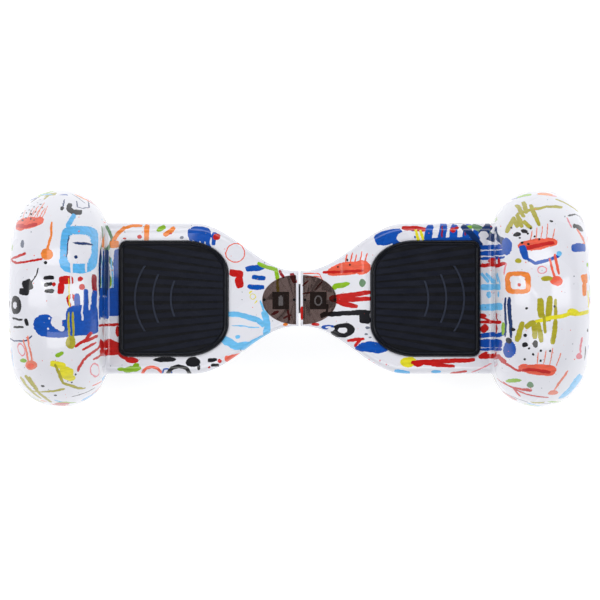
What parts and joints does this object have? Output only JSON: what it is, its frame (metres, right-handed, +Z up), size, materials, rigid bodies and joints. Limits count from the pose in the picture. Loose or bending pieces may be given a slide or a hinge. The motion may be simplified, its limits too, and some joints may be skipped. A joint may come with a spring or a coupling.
{
  "type": "self-balancing hoverboard",
  "caption": "Self-balancing board: hub-motor wheels under domed arches, twisting printed deck, rubber foot pads and smoked indicator windows",
  "frame": {"origin": "on the ground, midway between the two wheels", "axes": "+X along the axle from the battery half to the control-board half, +Y towards the back (button and charging socket), +Z up"},
  "size_m": [0.7062, 0.268, 0.259],
  "materials": {
    "white_shell": "glossy, printed with a bright abstract graffiti pattern",
    "black_shell": "fine-grained matte moulding",
    "pad_rubber": "satin dark navy rubber",
    "smoked_cover": "smoked translucent gloss plastic",
    "display": "black gloss display window",
    "lamp_lens": "clear moulded lens",
    "circuit_board": "green solder-mask board with black parts",
    "cast_frame": "as-cast aluminium",
    "steel": "turned steel",
    "screw_steel": "black-oxide steel",
    "bush_plastic": "self-lubricating plastic",
    "sleeve_plastic": "black plastic",
    "battery_wrap": "blue shrink wrap",
    "cable": "black rubber sheath",
    "button_plastic": "satin grey",
    "fitting_plastic": "black plastic",
    "brass": "plated brass",
    "cap_rubber": "soft black rubber",
    "tyre_rubber": "black tyre rubber",
    "rim_alloy": "machined alloy",
    "cover_alloy": "dark-grey painted alloy",
    "magnet": "nickel-plated magnets",
    "laminations": "stacked electrical steel",
    "copper": "enamelled copper wire"
  },
  "bodies": {
    "left_half": {"top_shell_left": "white_shell", "bottom_shell_left": "black_shell", "chassis_left": "cast_frame", "axle_clamp_left": "cast_frame", "clamp_screws_left": "screw_steel", "shell_screws_left": "screw_steel", "sensor_board_left": "circuit_board", "indicator_cover_left": "smoked_cover", "indicator_module_left": "display", "headlamp_lens_left": "lamp_lens", "headlamp_board_left": "circuit_board", "motor_axle_left": "steel", "stator_core_left": "laminations", "stator_windings_left": "copper", "pivot_tube": "steel", "pivot_sleeve": "sleeve_plastic", "pivot_circlip": "steel", "battery_pack": "battery_wrap", "battery_strap": "steel", "centre_cable": "cable"},
    "right_half": {"top_shell_right": "white_shell", "bottom_shell_right": "black_shell", "chassis_right": "cast_frame", "axle_clamp_right": "cast_frame", "clamp_screws_right": "screw_steel", "shell_screws_right": "screw_steel", "sensor_board_right": "circuit_board", "indicator_cover_right": "smoked_cover", "indicator_module_right": "display", "headlamp_lens_right": "lamp_lens", "headlamp_board_right": "circuit_board", "motor_axle_right": "steel", "stator_core_right": "laminations", "stator_windings_right": "copper", "pivot_bushes": "bush_plastic", "pivot_stop_pin": "steel", "main_board": "circuit_board", "power_switch": "fitting_plastic", "charge_socket": "fitting_plastic", "charge_pins": "brass"},
    "wheel_left": {"tyre_left": "tyre_rubber", "tyre_valve_left": "cap_rubber", "hub_rim_left": "rim_alloy", "hub_cover_outer_left": "cover_alloy", "hub_cover_inner_left": "cover_alloy", "hub_screws_left": "screw_steel", "hub_magnets_left": "magnet", "motor_bearings_left": "steel"},
    "wheel_right": {"tyre_right": "tyre_rubber", "tyre_valve_right": "cap_rubber", "hub_rim_right": "rim_alloy", "hub_cover_outer_right": "cover_alloy", "hub_cover_inner_right": "cover_alloy", "hub_screws_right": "screw_steel", "hub_magnets_right": "magnet", "motor_bearings_right": "steel"},
    "foot_pad_left": {"foot_pad_left": "pad_rubber"},
    "foot_pad_right": {"foot_pad_right": "pad_rubber"},
    "power_button": {"power_button": "button_plastic"},
    "charge_cap": {"charge_cap": "cap_rubber"}
  },
  "joints": [
    {"name": "centre_twist", "type": "hinge", "parent": "left_half", "child": "right_half", "pos_m": [0, 0, 0.125], "axis": [1, 0, 0], "range_deg": [-15, 15]},
    {"name": "wheel_spin_left", "type": "hinge", "parent": "left_half", "child": "wheel_left", "pos_m": [-0.2955, 0, 0.125], "axis": [1, 0, 0], "continuous": true},
    {"name": "wheel_spin_right", "type": "hinge", "parent": "right_half", "child": "wheel_right", "pos_m": [0.2955, 0, 0.125], "axis": [1, 0, 0], "continuous": true},
    {"name": "pad_press_left", "type": "slide", "parent": "left_half", "child": "foot_pad_left", "axis": [0, 0, -1], "range_m": [0, 0.0015], "stiffness_N_per_m": 15000, "springref_m": -0.0003},
    {"name": "pad_press_right", "type": "slide", "parent": "right_half", "child": "foot_pad_right", "axis": [0, 0, -1], "range_m": [0, 0.0015], "stiffness_N_per_m": 15000, "springref_m": -0.0003},
    {"name": "button_press", "type": "slide", "parent": "right_half", "child": "power_button", "axis": [0, -1, 0], "range_m": [0, 0.0012], "stiffness_N_per_m": 1500, "springref_m": -0.0008},
    {"name": "cap_swing", "type": "hinge", "parent": "right_half", "child": "charge_cap", "pos_m": [0.196, 0.0924, 0.092], "axis": [-1, 0, 0], "range_deg": [0, 120]}
  ]
}
